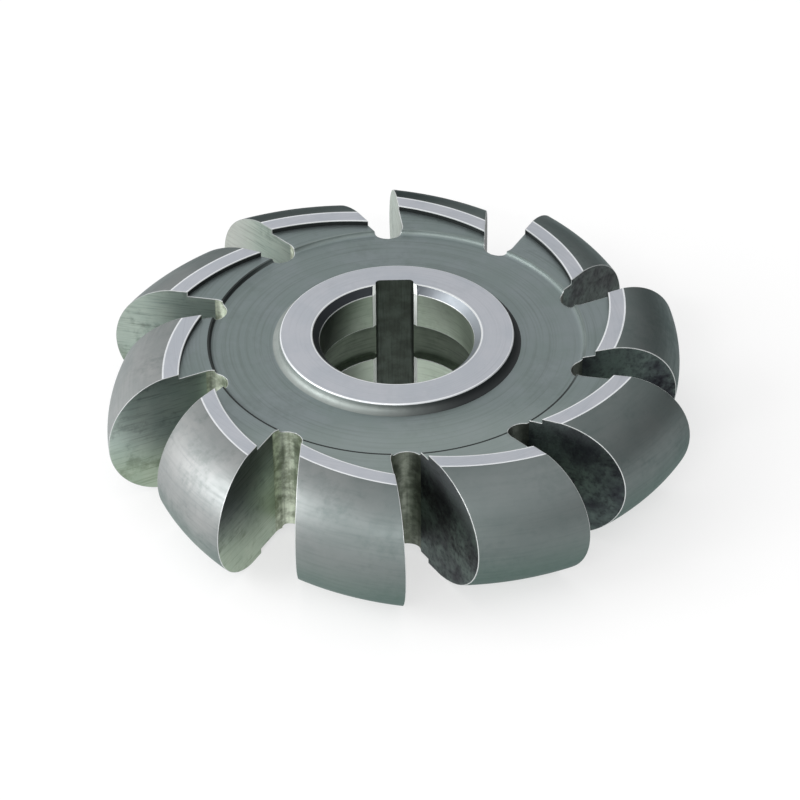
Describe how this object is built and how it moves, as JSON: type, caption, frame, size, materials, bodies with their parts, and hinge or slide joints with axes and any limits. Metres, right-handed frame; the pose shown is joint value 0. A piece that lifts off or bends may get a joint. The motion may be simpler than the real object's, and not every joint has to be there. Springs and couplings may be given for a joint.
{
  "type": "convex milling cutter",
  "caption": "Convex half-round milling cutter for an arbor: relieved teeth with ground side lands, rounded gullets, a recessed web, a raised hub and a keyed bore.",
  "frame": {"origin": "middle of the bore, half way between the two hub faces", "axes": "+Z along the bore axis; the keyway and the cutting tip of one tooth are on +Y; seen from +Z the teeth cut counter-clockwise"},
  "size_m": [0.12, 0.125, 0.0278],
  "materials": {
    "tool_steel": "hardened tool steel: hub faces and side lands ground bright, the rest turned or milled grey"
  },
  "bodies": {
    "root": {"cutter_body": "tool_steel"}
  },
  "joints": []
}
